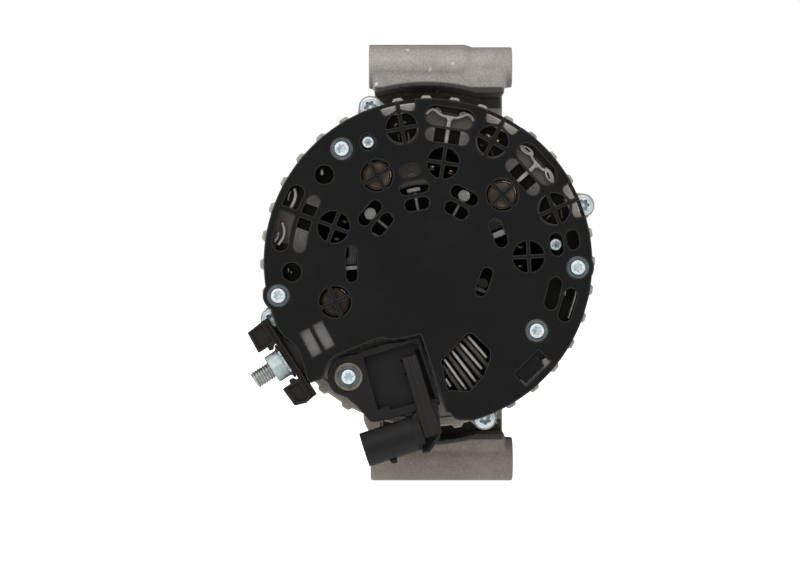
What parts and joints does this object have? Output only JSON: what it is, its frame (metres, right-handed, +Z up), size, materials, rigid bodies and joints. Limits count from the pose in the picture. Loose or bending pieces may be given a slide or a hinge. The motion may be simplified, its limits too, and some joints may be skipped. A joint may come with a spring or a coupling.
{
  "type": "car alternator",
  "caption": "Car alternator with internal fans, two cross mounting tubes, a vented plastic rear cover, an insulated output stud, a plug-in regulator and an overrunning ribbed-belt pulley.",
  "frame": {"origin": "on the shaft axis, midway between the two mounting tubes", "axes": "+Z up from the lower mounting tube to the upper one, +Y along the shaft towards the pulley, +X to the right seen from the rear cover"},
  "size_m": [0.154, 0.1554, 0.2004],
  "materials": {
    "cast_aluminium": "sand cast and blasted",
    "sheet_aluminium": "milled",
    "steel": "ground",
    "pulley_steel": "blackened",
    "zinc_steel": "bright zinc plate",
    "laminations": "varnished",
    "copper": "enamelled",
    "diode_base": "dull",
    "carbon": "dull",
    "black_plastic": "fine matt"
  },
  "bodies": {
    "frame_body": {"bearing_retainer": "steel", "brush_spring_front": "steel", "brush_spring_rear": "steel", "connection_plate": "black_plastic", "cover_screw_1": "zinc_steel", "cover_screw_2": "zinc_steel", "cover_screw_3": "zinc_steel", "cover_screw_4": "zinc_steel", "cover_sleeve_1": "steel", "cover_sleeve_2": "steel", "cover_sleeve_3": "steel", "cover_sleeve_4": "steel", "front_bearing_outer_ring": "steel", "front_housing": "cast_aluminium", "negative_diode_1": "diode_base", "negative_diode_2": "diode_base", "negative_diode_3": "diode_base", "positive_diode_1": "diode_base", "positive_diode_2": "diode_base", "positive_diode_3": "diode_base", "rear_bearing_outer_ring": "steel", "rear_cover": "black_plastic", "rear_housing": "cast_aluminium", "rectifier_heatsink": "sheet_aluminium", "rectifier_screw_1": "zinc_steel", "rectifier_screw_2": "zinc_steel", "regulator_body": "black_plastic", "regulator_screw": "zinc_steel", "regulator_sleeve": "steel", "retainer_screw_1": "zinc_steel", "retainer_screw_2": "zinc_steel", "retainer_screw_3": "zinc_steel", "stator_core": "laminations", "stator_winding": "copper", "terminal_guard": "black_plastic", "terminal_nut": "zinc_steel", "terminal_stud": "zinc_steel", "through_bolt_1": "zinc_steel", "through_bolt_2": "zinc_steel", "through_bolt_3": "zinc_steel", "through_bolt_4": "zinc_steel"},
    "rotor_body": {"rotor_shaft": "steel", "rear_claw_pole": "laminations", "front_claw_pole": "laminations", "field_coil": "copper", "rear_fan": "steel", "front_fan": "steel", "slip_ring_carrier": "black_plastic", "slip_ring_rear": "copper", "slip_ring_front": "copper", "front_bearing_inner_ring": "steel", "rear_bearing_inner_ring": "steel", "pulley_hub": "steel"},
    "pulley_body": {"pulley_ring": "pulley_steel", "clutch_roller_cage": "steel", "pulley_cap": "black_plastic"},
    "front_cage_body": {"front_bearing_ball_cage": "steel"},
    "rear_cage_body": {"rear_bearing_ball_cage": "steel"},
    "rear_brush_body": {"brush_rear": "carbon"},
    "front_brush_body": {"brush_front": "carbon"}
  },
  "joints": [
    {"name": "rotor_spin", "type": "hinge", "parent": "frame_body", "child": "rotor_body", "pos_m": [0, 0, 0], "axis": [0, 1, 0], "continuous": true},
    {"name": "pulley_overrun", "type": "hinge", "parent": "rotor_body", "child": "pulley_body", "pos_m": [0, 0.07, 0], "axis": [0, 1, 0], "continuous": true},
    {"name": "front_cage_spin", "type": "hinge", "parent": "frame_body", "child": "front_cage_body", "pos_m": [0, 0.04, 0], "axis": [0, 1, 0], "continuous": true},
    {"name": "rear_cage_spin", "type": "hinge", "parent": "frame_body", "child": "rear_cage_body", "pos_m": [0, -0.0355, 0], "axis": [0, 1, 0], "continuous": true},
    {"name": "rear_brush_slide", "type": "slide", "parent": "frame_body", "child": "rear_brush_body", "axis": [-0.309, 0, -0.9511], "range_m": [0, 0.004], "stiffness_N_per_m": 250, "springref_m": -0.01, "deforming": ["brush_spring_rear"]},
    {"name": "front_brush_slide", "type": "slide", "parent": "frame_body", "child": "front_brush_body", "axis": [-0.309, 0, -0.9511], "range_m": [0, 0.004], "stiffness_N_per_m": 250, "springref_m": -0.01, "deforming": ["brush_spring_front"]}
  ],
  "couplings": [
    {"joint": "front_cage_spin", "follows": "rotor_spin", "ratio": 0.3969},
    {"joint": "rear_cage_spin", "follows": "rotor_spin", "ratio": 0.4206}
  ]
}
